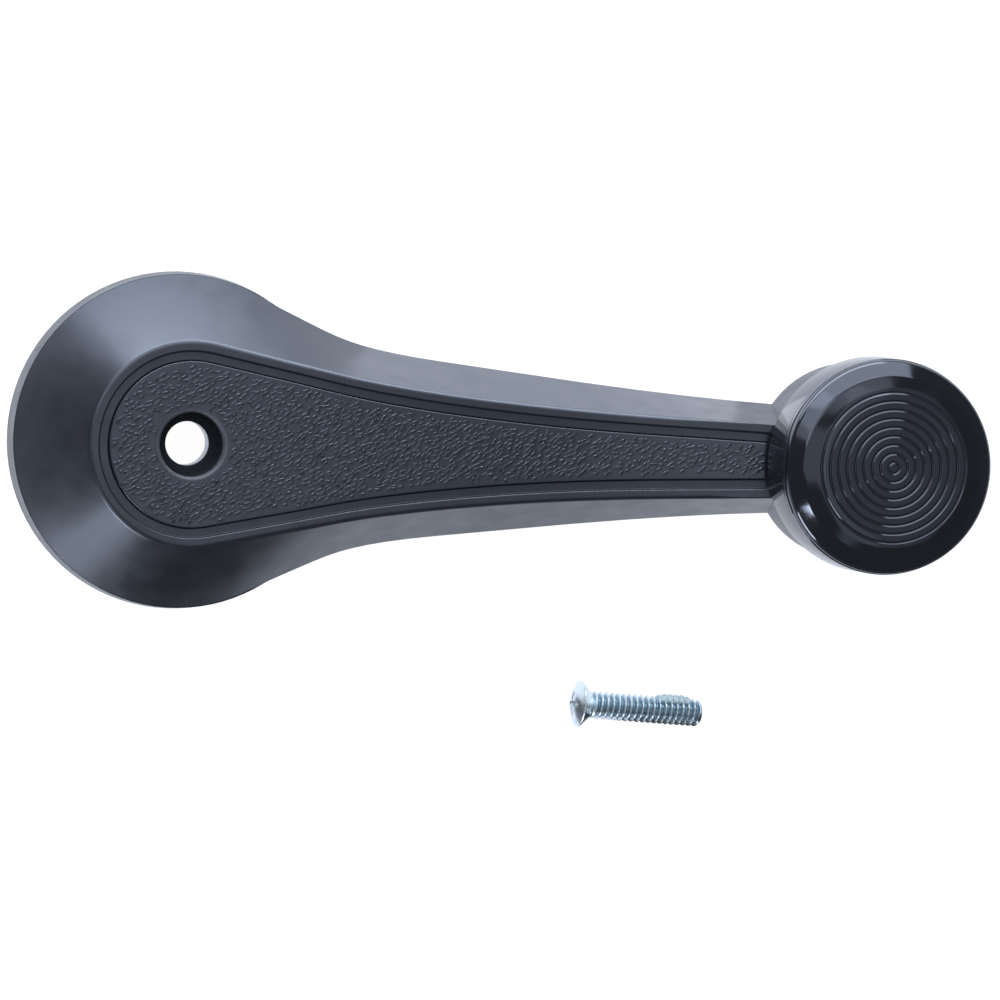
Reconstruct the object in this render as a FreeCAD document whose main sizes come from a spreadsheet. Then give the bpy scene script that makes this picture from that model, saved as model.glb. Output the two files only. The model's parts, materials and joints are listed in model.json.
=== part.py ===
import FreeCAD, Part
import Sketcher
import math
import os

# Car window winder handle.
# Origin: on the shaft axis, at the back face of the hub.
# +X runs from the hub to the knob, +Z points out of the front face.
# All lengths are in millimetres.

VECTOR = FreeCAD.Vector

doc = FreeCAD.newDocument("WinderHandle")
sheet = doc.addObject("Spreadsheet::Sheet", "Sizes")

DRIVING = {
    # Handle moulding
    "throw": 117.5,
    "hub_radius": 28.6,
    "hub_draft": 0.45,
    "rim_ledge": 0.15,
    "rim_height": 5.2,
    "face_height": 18.2,
    "rim_end_radius": 17.1,
    "rim_band": 1.55,
    "channel_width": 1.75,
    "channel_depth": 0.9,
    "dip_depth": 2.4,
    "boss_radius": 17.0,
    "hub_wall": 2.4,
    "face_web": 3.6,
    "core_wall": 1.05,
    "rib_thickness": 1.6,
    "arm_web": 3.1,
    "arm_wall": 1.4,
    "boss_wall": 3.4,
    "boss_web": 3.0,
    "tube_radius": 7.4,
    "rib_drop": 1.4,
    # Inlay
    "seat_depth": 0.4,
    "seat_clearance": 0.1,
    # Screw hole and metal insert
    "counterbore_radius": 5.4,
    "mouth_round": 0.55,
    "floor_web": 0.8,
    "sleeve_wall": 3.05,
    "flange_lip": 0.6,
    "plate_level": 8.8,
    "plate_thickness": 3.5,
    "plate_hole_radius": 3.7,
    "pilot_radius": 6.6,
    "pilot_depth": 1.6,
    "spline_radius": 6.35,
    "spline_depth": 0.55,
    # Spindle and washers
    "shank_radius": 3.2,
    "journal_step": 0.8,
    "peen_radius": 6.0,
    "peen_height": 1.6,
    "peen_recess": 0.4,
    "backing_radius": 6.8,
    "backing_thickness": 0.8,
    "thrust_radius": 9.0,
    "thrust_thickness": 1.0,
    "running_gap": 0.05,
    "spindle_head_radius": 6.8,
    "spindle_head_height": 1.6,
    "head_clearance": 1.1,
    "bush_wall": 1.5,
    "spring_radius": 6.6,
    "spring_thickness": 0.4,
    "spring_cup": 0.4,
    # Knob
    "knob_gap": 0.5,
    "skirt_radius": 18.5,
    "skirt_draft": 0.15,
    "skirt_height": 7.5,
    "skirt_wall": 1.9,
    "step_height": 0.6,
    "step_inset": 0.3,
    "bead_height": 1.2,
    "crown_inset": 0.2,
    "crown_height": 3.8,
    "crown_round": 2.0,
    "shoulder_width": 4.15,
    "shoulder_drop": 0.95,
    "shoulder_round": 5.0,
    "cap_web": 2.0,
    "plug_gap": 0.5,
    "plug_wall": 1.4,
    "knob_hub_wall": 2.4,
    "knob_web": 1.8,
    "knob_web_lift": 1.8,
    "ring_start": 2.4,
    "ring_margin": 1.31,
    "ring_depth": 0.22,
    "ring_land": 0.36,
    # Loose screw, number 10-24 by 7/8 inch
    "thread_radius": 2.41,
    "thread_root": 1.84,
    "thread_pitch": 1.058,
    "screw_length": 22.2,
    "screw_head_radius": 4.05,
    "screw_crown": 1.2,
    "screw_tip": 0.7,
    "cross_reach": 2.15,
    "cross_width": 1.1,
    "cross_depth": 2.2,
    "patch_rise": 0.6,
    "patch_length": 6.0,
    "patch_start": 14.2,
    "screw_x": 71.2,
    "screw_y": -43.3,
    # One overrun serves all cuts
    "overrun": 2.0,
}

SPLINE_TEETH = 36
RING_COUNT = 8
HUB_RIBS = 6
ARM_RIBS = 3
BOSS_RIBS = 4
COUNTERSINK_ANGLE = 82.0
SCREW_HEADING = -3.6
PATCH_ANGLE = 80.0

for row, (alias, value) in enumerate(DRIVING.items(), start=1):
    sheet.set(f"A{row}", alias)
    sheet.set(f"B{row}", str(value))
    sheet.setAlias(f"B{row}", alias)
doc.recompute()


def size(alias):
    return float(sheet.get(alias))


throw = size("throw")
overrun = size("overrun")
face_height = size("face_height")
rim_height = size("rim_height")
cone_radius = size("hub_radius") - size("hub_draft") - size("rim_ledge")
rim_end_radius = size("rim_end_radius")
insert_radius = size("spline_radius") + size("sleeve_wall")
flange_corner = (insert_radius + size("flange_lip")) / math.cos(math.pi / 6)
core_radius = flange_corner + size("core_wall")
backing_level = rim_height + size("peen_recess") + size("peen_height")

# Plan shape of the arm. Stations are shares of the throw, half widths of the
# lower edge are shares of the hub radius, those of the rim of its end radius.
STATION_SHARES = (0.1757, 0.2349, 0.2936, 0.4128, 0.5923, 0.8851, 0.9532)
EDGE_SHARES = (0.7395, 0.6364, 0.5752, 0.5087, 0.4266, 0.3304, 0.3182)
RIM_SHARES = (0.7749, 0.6930, 0.6287, 0.5304, 0.4374, 0.3596, 0.3480)
# The rim leaves its round end at this angle from +X, and the lower edge follows
# the hub's circle to the angles after it.
RIM_TURN = 78.5
EDGE_TURNS = (70.0, 60.2)

# Side shape of the top face: shares of the throw, then of the dip's depth.
DIP_SHARES = ((0.10, 0.0), (0.42, 0.60), (0.60, 1.0), (0.765, 0.62), (0.875, 0.0))
DIP_END_SLOPE_SHARE = 0.17

# Domed screw head: shares of the head's radius, then of the crown's height.
SCREW_CROWN_SHARES = ((0.45, 0.82), (0.80, 0.42))

stations = [share * throw for share in STATION_SHARES]
edge_widths = [share * size("hub_radius") for share in EDGE_SHARES]
rim_widths = [share * rim_end_radius for share in RIM_SHARES]


def dip_curve(drop):
    """The top face seen from the side, lowered by drop, as a spline in the XZ plane."""
    points = [VECTOR(along * throw, 0, face_height - drop - deep * size("dip_depth"))
              for along, deep in DIP_SHARES]
    curve = Part.BSplineCurve()
    curve.interpolate(Points=points, InitialTangent=VECTOR(1, 0, 0),
                      FinalTangent=VECTOR(1, 0, DIP_END_SLOPE_SHARE), Scale=False)
    return curve


def top_level(x):
    """Height of the top face at x."""
    curve = dip_curve(0)
    first, last = curve.FirstParameter, curve.LastParameter
    if x <= curve.value(first).x or x >= curve.value(last).x:
        return face_height
    for _ in range(60):
        middle = (first + last) / 2
        if curve.value(middle).x < x:
            first = middle
        else:
            last = middle
    return curve.value(first).z


def block_above(drop):
    """Everything above the top face lowered by drop."""
    curve = dip_curve(drop)
    start = curve.value(curve.FirstParameter)
    end = curve.value(curve.LastParameter)
    reach = size("hub_radius") + overrun
    far = throw + size("boss_radius") + overrun
    high = face_height + overrun + overrun
    left_low = VECTOR(-reach, 0, start.z)
    right_low = VECTOR(far, 0, end.z)
    left_high = VECTOR(-reach, 0, high)
    right_high = VECTOR(far, 0, high)
    edges = [Part.makeLine(left_low, start), curve.toShape(), Part.makeLine(end, right_low),
             Part.makeLine(right_low, right_high), Part.makeLine(right_high, left_high),
             Part.makeLine(left_high, left_low)]
    face = Part.Face(Part.Wire(edges))
    face.translate(VECTOR(0, -reach, 0))
    return face.extrude(VECTOR(0, 2 * reach, 0))


def arm_outline(level, radius, xs, widths, turns=()):
    """A closed outline: a round hub end, two spline sides and a straight end."""
    angles = [math.radians(turn) for turn in (RIM_TURN, *turns)]
    points = [VECTOR(radius * math.cos(a), radius * math.sin(a), level) for a in angles]
    start = points[0]
    leaving = VECTOR(math.sin(angles[0]), -math.cos(angles[0]), 0)
    points += [VECTOR(x, w, level) for x, w in zip(xs, widths)]
    ending = points[-1] - points[-2]
    ending.normalize()
    upper = Part.BSplineCurve()
    upper.interpolate(Points=points, InitialTangent=leaving, FinalTangent=ending, Scale=False)
    mirrored = [VECTOR(p.x, -p.y, level) for p in reversed(points)]
    lower = Part.BSplineCurve()
    lower.interpolate(Points=mirrored, InitialTangent=VECTOR(-ending.x, ending.y, 0),
                      FinalTangent=VECTOR(-leaving.x, leaving.y, 0), Scale=False)
    round_end = Part.Arc(mirrored[-1], VECTOR(-radius, 0, level), start)
    end_line = Part.LineSegment(points[-1], mirrored[0])
    return Part.Wire([round_end.toShape(), upper.toShape(), end_line.toShape(), lower.toShape()])


def rim_outline(level, inset, end_x):
    """The rim's plan outline, moved inwards by inset and cut off at end_x."""
    xs = [x for x in stations if x < end_x - overrun]
    widths = [w - inset for w in rim_widths[:len(xs)]]
    after = rim_widths[len(xs) - 1] + (rim_widths[len(xs)] - rim_widths[len(xs) - 1]) * (
        (end_x - xs[-1]) / (stations[len(xs)] - xs[-1]))
    return arm_outline(level, rim_end_radius - inset, xs + [end_x], widths + [after - inset])


def plan_prism(inset, end_x):
    """A tall prism on the inset rim outline."""
    face = Part.Face(rim_outline(0, inset, end_x))
    return face.extrude(VECTOR(0, 0, face_height + overrun))


def add_shape(name, shape):
    feature = doc.addObject("Part::Feature", name)
    feature.Shape = shape
    return feature


def primitive(kind, name, position=None, **bound):
    """A Part primitive whose properties follow the sheet."""
    item = doc.addObject(kind, name)
    for prop, expression in bound.items():
        item.setExpression(prop, expression)
    for axis, expression in (position or {}).items():
        item.setExpression(f"Placement.Base.{axis}", expression)
    return item


def cut(name, base, tool):
    item = doc.addObject("Part::Cut", name)
    item.Base = base
    item.Tool = tool
    return item


def fuse(name, items):
    item = doc.addObject("Part::MultiFuse", name)
    item.Shapes = items
    return item


def origin_plane(body, role):
    return [item for item in body.Origin.OriginFeatures if item.Role == role][0]


def polygon_sketch(body, name, role, corners):
    """A closed polygon whose corners are held by expressions in the sheet's sizes."""
    sketch = body.newObject("Sketcher::SketchObject", name)
    sketch.AttachmentSupport = [(origin_plane(body, role), "")]
    sketch.MapMode = "FlatFace"
    count = len(corners)
    seeds = [VECTOR(math.cos(2 * math.pi * i / count), math.sin(2 * math.pi * i / count), 0)
             for i in range(count)]
    for i in range(count):
        sketch.addGeometry(Part.LineSegment(seeds[i], seeds[(i + 1) % count]), False)
    for i in range(count):
        sketch.addConstraint(Sketcher.Constraint("Coincident", i, 2, (i + 1) % count, 1))
    for i, (across, up) in enumerate(corners):
        for kind, expression in (("DistanceX", across), ("DistanceY", up)):
            index = sketch.addConstraint(Sketcher.Constraint(kind, -1, 1, i, 1, 1.0))
            sketch.setExpression(f"Constraints[{index}]", expression)
    return sketch


def turned_body(label, corners, centre=None):
    """A solid of revolution about the vertical line through x = centre."""
    body = doc.addObject("PartDesign::Body", label)
    body.Label = label
    sketch = polygon_sketch(body, f"{label}_profile", "XZ_Plane", corners)
    doc.recompute()
    turn = body.newObject("PartDesign::Revolution", f"{label}_turn")
    turn.Profile = sketch
    turn.ReferenceAxis = (sketch, ["V_Axis"])
    turn.Angle = 360.0
    if centre:
        body.setExpression("Placement.Base.x", centre)
    doc.recompute()
    return body


def round_edge(body, name, radius, level, expression):
    """A fillet on the circular edge of the given radius and local height."""
    base = body.Tip
    found = [f"Edge{i}" for i, edge in enumerate(base.Shape.Edges, start=1)
             if isinstance(edge.Curve, Part.Circle)
             and abs(edge.Curve.Radius - radius) < radius * 1e-4
             and abs(edge.Curve.Center.z - level) < radius * 1e-4]
    fillet = body.newObject("PartDesign::Fillet", name)
    fillet.Base = (base, found[:1])
    fillet.setExpression("Radius", expression)
    doc.recompute()
    return fillet


def build_shell():
    """The moulded hub, arm and boss."""
    top = face_height + overrun
    full = top - rim_height
    flat = face_height - rim_height
    high_widths = [edge - (edge - rim) * full / (top_level(x) - rim_height)
                   for x, edge, rim in zip(stations, edge_widths, rim_widths)]
    high_radius = cone_radius - (cone_radius - rim_end_radius) * full / flat
    lower = add_shape("lower_outline", arm_outline(rim_height, cone_radius, stations,
                                                   edge_widths, EDGE_TURNS))
    upper = add_shape("upper_outline", arm_outline(top, high_radius, stations, high_widths))
    arm = doc.addObject("Part::Loft", "arm_block")
    arm.Sections = [lower, upper]
    arm.Solid = True
    arm.Ruled = True
    hub = primitive("Part::Cone", "hub_rim", Radius1="Sizes.hub_radius",
                    Radius2="Sizes.hub_radius - Sizes.hub_draft", Height="Sizes.rim_height")
    boss = primitive("Part::Cylinder", "boss_block", {"x": "Sizes.throw", "z": "Sizes.rim_height"},
                     Radius="Sizes.boss_radius",
                     Height="Sizes.face_height + Sizes.knob_gap - Sizes.rim_height")
    tall_block = fuse("tall_block", [arm, hub, boss])
    block = cut("handle_block", tall_block, add_shape("top_relief", block_above(0)))

    channel_end = throw - size("boss_radius") - size("running_gap")
    channel = add_shape("channel_cutter", plan_prism(size("rim_band"), channel_end).common(
        block_above(size("channel_depth"))))
    seat_inset = size("rim_band") + size("channel_width") - size("seat_clearance")
    seat_end = channel_end - size("channel_width") / 2
    seat = add_shape("seat_cutter", plan_prism(seat_inset, seat_end).common(
        block_above(size("channel_depth") + size("seat_depth"))))

    core = primitive("Part::Cylinder", "counterbore_cutter",
                     {"z": "Sizes.plate_level + Sizes.plate_thickness + Sizes.floor_web"},
                     Radius="Sizes.counterbore_radius", Height="Sizes.face_height")
    passage = primitive("Part::Cylinder", "passage_cutter", {"z": "-Sizes.overrun"},
                        Radius="Sizes.plate_hole_radius", Height="Sizes.face_height + Sizes.overrun")
    insert_room = add_shape("insert_cutter", insert_blank(overrun))
    spindle_hole = primitive("Part::Cylinder", "spindle_cutter", {"x": "Sizes.throw"},
                             Radius="Sizes.shank_radius", Height="Sizes.face_height + Sizes.overrun")
    tools = fuse("shell_cutters", [channel, seat, core, passage, insert_room, spindle_hole,
                                   hub_hollow(), arm_hollow(), boss_hollow()])
    shell = cut("handle_shell", block, tools)
    shell.Label = "handle_shell"
    return shell


def hub_hollow():
    """The open back of the hub, with radial ribs left standing."""
    rib_top = face_height - size("face_web")
    slope = (cone_radius - rim_end_radius) / (face_height - rim_height)
    inner = core_radius
    outer = size("hub_radius") - size("hub_draft") - size("hub_wall")
    high = outer - slope * (rib_top - rim_height)
    corners = [VECTOR(inner, 0, -overrun), VECTOR(outer, 0, -overrun),
               VECTOR(outer, 0, rim_height - size("hub_wall")),
               VECTOR(high - size("hub_wall") / 2, 0, rib_top), VECTOR(inner, 0, rib_top)]
    face = Part.Face(Part.makePolygon(corners + corners[:1]))
    ring = face.revolve(VECTOR(0, 0, 0), VECTOR(0, 0, 1), 360)
    for i in range(HUB_RIBS):
        rib = Part.makeBox(size("hub_radius"), size("rib_thickness"), face_height,
                           VECTOR(0, -size("rib_thickness") / 2, size("rib_drop")))
        rib.rotate(VECTOR(0, 0, 0), VECTOR(0, 0, 1), 360 * (i + 0.5) / HUB_RIBS)
        ring = ring.cut(rib)
    return add_shape("hub_hollow", ring)


def arm_hollow():
    """The open back of the arm, from the hub to the boss, with cross ribs."""
    start = size("hub_radius") + size("hub_wall")
    end = throw - size("boss_radius") - size("hub_wall")
    prism = plan_prism(size("arm_wall"), end)
    reach = size("hub_radius")
    trim = Part.makeBox(end - start, 2 * reach, face_height + 2 * overrun,
                        VECTOR(start, -reach, -overrun))
    hollow = prism.common(trim).cut(block_above(size("arm_web")))
    pitch = (end - start) / (ARM_RIBS + 1)
    for i in range(1, ARM_RIBS + 1):
        rib = Part.makeBox(size("rib_thickness"), 2 * reach, face_height,
                           VECTOR(start + pitch * i - size("rib_thickness") / 2, -reach,
                                  rim_height + size("rib_drop")))
        hollow = hollow.cut(rib)
    return add_shape("arm_hollow", hollow)


def boss_hollow():
    """The open back of the boss, round the tube that holds the spindle."""
    centre = VECTOR(throw, 0, 0)
    radius = size("boss_radius") - size("boss_wall")
    roof = face_height - size("boss_web")
    bottom = rim_height - overrun
    hollow = Part.makeCylinder(radius, roof - bottom, centre + VECTOR(0, 0, bottom))
    seat = backing_level + size("backing_thickness")
    hollow = hollow.cut(Part.makeCylinder(size("tube_radius"), face_height - seat,
                                          centre + VECTOR(0, 0, seat)))
    for i in range(BOSS_RIBS):
        rib = Part.makeBox(size("boss_radius"), size("rib_thickness"), face_height,
                           VECTOR(throw + size("backing_radius") + size("seat_clearance"),
                                  -size("rib_thickness") / 2, rim_height + size("rib_drop")))
        rib.rotate(centre, VECTOR(0, 0, 1), 360 * (i + 0.5) / BOSS_RIBS)
        hollow = hollow.cut(rib)
    return add_shape("boss_hollow", hollow)


def insert_blank(below):
    """The insert's outside: a round sleeve with a hexagonal flange at its top."""
    level = size("plate_level")
    thick = size("plate_thickness")
    sleeve = Part.makeCylinder(insert_radius, level + thick + below, VECTOR(0, 0, -below))
    turns = [math.pi * i / 3 for i in range(6)]
    corners = [VECTOR(flange_corner * math.cos(turn), flange_corner * math.sin(turn), level)
               for turn in turns]
    flange = Part.Face(Part.makePolygon(corners + corners[:1])).extrude(VECTOR(0, 0, thick))
    return sleeve.fuse(flange).removeSplitter()


def build_insert():
    """The metal core with the serrated shaft socket and the screw plate."""
    level = size("plate_level")
    outer = size("spline_radius")
    inner = outer - size("spline_depth")
    teeth = []
    for i in range(SPLINE_TEETH):
        for radius, part in ((outer, 0.0), (inner, 0.5)):
            angle = 2 * math.pi * (i + part) / SPLINE_TEETH
            teeth.append(VECTOR(radius * math.cos(angle), radius * math.sin(angle), 0))
    socket = Part.Face(Part.makePolygon(teeth + teeth[:1])).extrude(VECTOR(0, 0, level))
    blank = add_shape("insert_blank", insert_blank(0))
    serrations = add_shape("socket_serrations", socket)
    pilot = primitive("Part::Cylinder", "pilot_cutter", {"z": "-Sizes.overrun"},
                      Radius="Sizes.pilot_radius", Height="Sizes.pilot_depth + Sizes.overrun")
    hole = primitive("Part::Cylinder", "plate_hole_cutter", Radius="Sizes.plate_hole_radius",
                     Height="Sizes.face_height")
    insert = cut("hub_insert", blank, fuse("insert_cutters", [serrations, pilot, hole]))
    insert.Label = "hub_insert"
    return insert


def build_inlay():
    """The raised grained panel, seated in the sunk channel."""
    inset = size("rim_band") + size("channel_width")
    channel_end = throw - size("boss_radius") - size("running_gap")
    end = channel_end - size("channel_width") / 2 - size("seat_clearance")
    prism = plan_prism(inset, end)
    depth = size("channel_depth") + size("seat_depth")
    panel = prism.common(block_above(depth)).cut(block_above(0))
    blank = add_shape("inlay_blank", panel)
    hole = primitive("Part::Cylinder", "inlay_hole_cutter", Radius="Sizes.counterbore_radius",
                     Height="Sizes.face_height + Sizes.overrun")
    pierced = cut("pierced_inlay", blank, hole)
    doc.recompute()
    mouth = [i for i, edge in enumerate(pierced.Shape.Edges, start=1)
             if isinstance(edge.Curve, Part.Circle)
             and abs(edge.Curve.Radius - size("counterbore_radius")) < size("mouth_round") / 100
             and abs(edge.Curve.Center.z - face_height) < size("mouth_round") / 100]
    inlay = doc.addObject("Part::Fillet", "grained_inlay")
    inlay.Label = "grained_inlay"
    inlay.Base = pierced
    inlay.Edges = [(i, size("mouth_round"), size("mouth_round")) for i in mouth]
    return inlay


PEEN_LEVEL = "Sizes.rim_height + Sizes.peen_recess"
BACKING_LEVEL = f"{PEEN_LEVEL} + Sizes.peen_height"
JOURNAL_LEVEL = "Sizes.face_height + Sizes.thrust_thickness + Sizes.running_gap"
KNOB_BASE = "Sizes.face_height + Sizes.knob_gap"
WEB_LOW = f"{KNOB_BASE} + Sizes.knob_web_lift"
WEB_HIGH = f"{WEB_LOW} + Sizes.knob_web"
STEP_LEVEL = f"{KNOB_BASE} + Sizes.skirt_height"
BEAD_LEVEL = f"{STEP_LEVEL} + Sizes.step_height"
CROWN_LEVEL = f"{BEAD_LEVEL} + Sizes.bead_height"
CROWN_TOP = f"{CROWN_LEVEL} + Sizes.crown_height"
CAP_ROOF = f"{CROWN_TOP} - Sizes.cap_web"
HEAD_TOP = f"{CAP_ROOF} - Sizes.head_clearance"
HEAD_LEVEL = f"{HEAD_TOP} - Sizes.spindle_head_height"
BUSH_TOP = (f"{HEAD_LEVEL} - Sizes.spring_thickness - Sizes.spring_cup"
            " - 2 * Sizes.running_gap")
JOURNAL_RADIUS = "Sizes.shank_radius + Sizes.journal_step"
BORE_RADIUS = f"{JOURNAL_RADIUS} + Sizes.running_gap"
BUSH_RADIUS = f"{BORE_RADIUS} + Sizes.bush_wall"
BEAD_RADIUS = "Sizes.skirt_radius - Sizes.skirt_draft"
PLUG_RADIUS = f"{BEAD_RADIUS} - Sizes.skirt_wall"
CROWN_RADIUS = f"{BEAD_RADIUS} - Sizes.crown_inset"
SHOULDER_RADIUS = f"{CROWN_RADIUS} - Sizes.shoulder_width"
SHOULDER_LEVEL = f"{CROWN_TOP} - Sizes.shoulder_drop"


def build_spindle():
    """The shoulder rivet that the knob turns on."""
    return turned_body("knob_spindle", [
        ("0", PEEN_LEVEL),
        ("Sizes.peen_radius", PEEN_LEVEL),
        ("Sizes.peen_radius", BACKING_LEVEL),
        ("Sizes.shank_radius", BACKING_LEVEL),
        ("Sizes.shank_radius", "Sizes.face_height"),
        (JOURNAL_RADIUS, "Sizes.face_height"),
        (JOURNAL_RADIUS, HEAD_LEVEL),
        ("Sizes.spindle_head_radius", HEAD_LEVEL),
        ("Sizes.spindle_head_radius", HEAD_TOP),
        ("0", HEAD_TOP),
    ], "Sizes.throw")


def build_washers():
    """The washer under the peened end and the one under the knob."""
    backing_top = f"{BACKING_LEVEL} + Sizes.backing_thickness"
    backing = turned_body("spindle_backing_washer", [
        ("Sizes.shank_radius", BACKING_LEVEL),
        ("Sizes.backing_radius", BACKING_LEVEL),
        ("Sizes.backing_radius", backing_top),
        ("Sizes.shank_radius", backing_top),
    ], "Sizes.throw")
    thrust_top = "Sizes.face_height + Sizes.thrust_thickness"
    thrust = turned_body("knob_thrust_washer", [
        (BORE_RADIUS, "Sizes.face_height"),
        ("Sizes.thrust_radius", "Sizes.face_height"),
        ("Sizes.thrust_radius", thrust_top),
        (BORE_RADIUS, thrust_top),
    ], "Sizes.throw")
    spring_inner = f"{BORE_RADIUS} + Sizes.running_gap"
    spring = turned_body("knob_spring_washer", [
        (spring_inner, f"{BUSH_TOP} + Sizes.spring_cup"),
        ("Sizes.spring_radius", BUSH_TOP),
        ("Sizes.spring_radius", f"{BUSH_TOP} + Sizes.spring_thickness"),
        (spring_inner, f"{BUSH_TOP} + Sizes.spring_cup + Sizes.spring_thickness"),
    ], "Sizes.throw")
    return [backing, thrust, spring]


def build_bush():
    """The plain bearing sleeve pressed into the knob."""
    return turned_body("knob_bush", [
        (BORE_RADIUS, JOURNAL_LEVEL),
        (BUSH_RADIUS, JOURNAL_LEVEL),
        (BUSH_RADIUS, BUSH_TOP),
        (BORE_RADIUS, BUSH_TOP),
    ], "Sizes.throw")


def build_knob_body():
    """The knob's skirt, its web and the hub that holds the bush."""
    hub_radius = f"{BUSH_RADIUS} + Sizes.knob_hub_wall"
    step_radius = f"{BEAD_RADIUS} - Sizes.step_inset"
    return turned_body("knob_body", [
        (BUSH_RADIUS, JOURNAL_LEVEL),
        (hub_radius, JOURNAL_LEVEL),
        (hub_radius, WEB_LOW),
        (PLUG_RADIUS, WEB_LOW),
        (PLUG_RADIUS, KNOB_BASE),
        ("Sizes.skirt_radius", KNOB_BASE),
        (BEAD_RADIUS, STEP_LEVEL),
        (step_radius, STEP_LEVEL),
        (step_radius, BEAD_LEVEL),
        (PLUG_RADIUS, BEAD_LEVEL),
        (PLUG_RADIUS, WEB_HIGH),
        (hub_radius, WEB_HIGH),
        (hub_radius, BUSH_TOP),
        (BUSH_RADIUS, BUSH_TOP),
    ], "Sizes.throw")


def build_knob_cap():
    """The crown with its concentric rings, plugged into the skirt."""
    plug_inner = f"{PLUG_RADIUS} - Sizes.plug_wall"
    plug_low = f"{WEB_HIGH} + Sizes.plug_gap"
    corners = [
        ("0", CAP_ROOF),
        (plug_inner, CAP_ROOF),
        (plug_inner, plug_low),
        (PLUG_RADIUS, plug_low),
        (PLUG_RADIUS, BEAD_LEVEL),
        (BEAD_RADIUS, BEAD_LEVEL),
        (BEAD_RADIUS, CROWN_LEVEL),
        (CROWN_RADIUS, CROWN_LEVEL),
        (CROWN_RADIUS, SHOULDER_LEVEL),
        (SHOULDER_RADIUS, CROWN_TOP),
    ]
    last_ring = f"{SHOULDER_RADIUS} - Sizes.ring_margin"
    pitch = f"({last_ring} - Sizes.ring_start) / {RING_COUNT - 1}"
    half = f"({pitch} - Sizes.ring_land) / 2"
    for i in reversed(range(RING_COUNT)):
        middle = f"Sizes.ring_start + {i} * {pitch}"
        corners.append((f"{middle} + {half}", CROWN_TOP))
        corners.append((middle, f"{CROWN_TOP} - Sizes.ring_depth"))
        corners.append((f"{middle} - {half}", CROWN_TOP))
    corners.append(("0", CROWN_TOP))
    cap = turned_body("knob_cap", corners, "Sizes.throw")
    top = max(vertex.Z for vertex in cap.Shape.Vertexes)
    radius = size("skirt_radius") - size("skirt_draft") - size("crown_inset")
    round_edge(cap, "crown_rounding", radius, top - size("shoulder_drop"), "Sizes.crown_round")
    radius -= size("shoulder_width")
    round_edge(cap, "shoulder_rounding", radius, top, "Sizes.shoulder_round")
    return cap


def screw_head_depth():
    """The depth of the countersunk head, as an expression in the sheet's sizes."""
    half = math.tan(math.radians(COUNTERSINK_ANGLE / 2))
    return f"(Sizes.screw_head_radius - Sizes.thread_radius) / {half:.6f}"


def screw_placement():
    """The screw lies on its head's edge and its tip, as a screw does on a table."""
    drop = size("screw_head_radius") - size("thread_radius")
    lean = math.degrees(math.asin(drop / size("screw_length")))
    lay = FreeCAD.Rotation(VECTOR(0, 1, 0), -90 + lean)
    heading = FreeCAD.Rotation(VECTOR(0, 0, 1), SCREW_HEADING)
    height = size("screw_head_radius") * math.cos(math.radians(lean))
    base = VECTOR(size("screw_x"), size("screw_y"), height)
    return FreeCAD.Placement(base, heading.multiply(lay))


def build_screw():
    """The loose oval countersunk screw, modelled head up and then laid down."""
    head_low = f"-({screw_head_depth()})"
    tip = "-Sizes.screw_length"
    run = size("screw_length") - (size("screw_head_radius") - size("thread_radius")) / math.tan(
        math.radians(COUNTERSINK_ANGLE / 2)) - size("screw_tip")
    turns = int(run / size("thread_pitch"))
    corners = [("0", "Sizes.screw_crown")]
    for across, up in SCREW_CROWN_SHARES:
        corners.append((f"{across} * Sizes.screw_head_radius", f"{up} * Sizes.screw_crown"))
    corners += [("Sizes.screw_head_radius", "0"), ("Sizes.thread_radius", head_low)]
    for i in range(turns):
        corners.append(("Sizes.thread_root", f"{head_low} - {i + 0.5} * Sizes.thread_pitch"))
        corners.append(("Sizes.thread_radius", f"{head_low} - {i + 1} * Sizes.thread_pitch"))
    corners.append(("Sizes.thread_radius", f"{tip} + Sizes.screw_tip"))
    corners.append(("Sizes.thread_root", tip))
    corners.append(("0", tip))
    screw = turned_body("winder_screw", corners)
    half = "Sizes.cross_width / 2"
    reach = "Sizes.cross_reach"
    cross = polygon_sketch(screw, "cross_recess_profile", "XY_Plane", [
        (reach, f"-{half}"), (reach, half), (half, half), (half, reach),
        (f"-{half}", reach), (f"-{half}", half), (f"-{reach}", half), (f"-{reach}", f"-{half}"),
        (f"-{half}", f"-{half}"), (f"-{half}", f"-{reach}"), (half, f"-{reach}"), (half, f"-{half}"),
    ])
    cross.setExpression("AttachmentOffset.Base.z", "Sizes.screw_crown")
    doc.recompute()
    before = screw.Shape.Volume
    pocket = screw.newObject("PartDesign::Pocket", "cross_recess")
    pocket.Profile = cross
    pocket.setExpression("Length", "Sizes.cross_depth")
    doc.recompute()
    if screw.Shape.Volume >= before:
        raise RuntimeError("the cross recess cuts nothing")
    screw.Placement = screw_placement()
    return screw


def build_patch():
    """The nylon locking patch on one side of the thread."""
    outer = primitive("Part::Cylinder", "patch_outer",
                      Radius="Sizes.thread_radius + Sizes.patch_rise", Height="Sizes.patch_length")
    outer.Angle = PATCH_ANGLE
    inner = primitive("Part::Cylinder", "patch_inner", {"z": "-Sizes.overrun"},
                      Radius="Sizes.thread_radius", Height="Sizes.patch_length + 2 * Sizes.overrun")
    patch = cut("screw_locking_patch", outer, inner)
    patch.Label = "screw_locking_patch"
    facing = FreeCAD.Rotation(VECTOR(0, 0, 1), 90 - PATCH_ANGLE / 2)
    along = VECTOR(0, 0, -size("patch_start") - size("patch_length"))
    patch.Placement = screw_placement().multiply(FreeCAD.Placement(along, facing))
    return patch


nodes = [build_shell(), build_insert(), build_inlay(), build_spindle()]
nodes += build_washers()
nodes += [build_bush(), build_knob_body(), build_knob_cap(), build_screw(), build_patch()]
doc.recompute()

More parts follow.
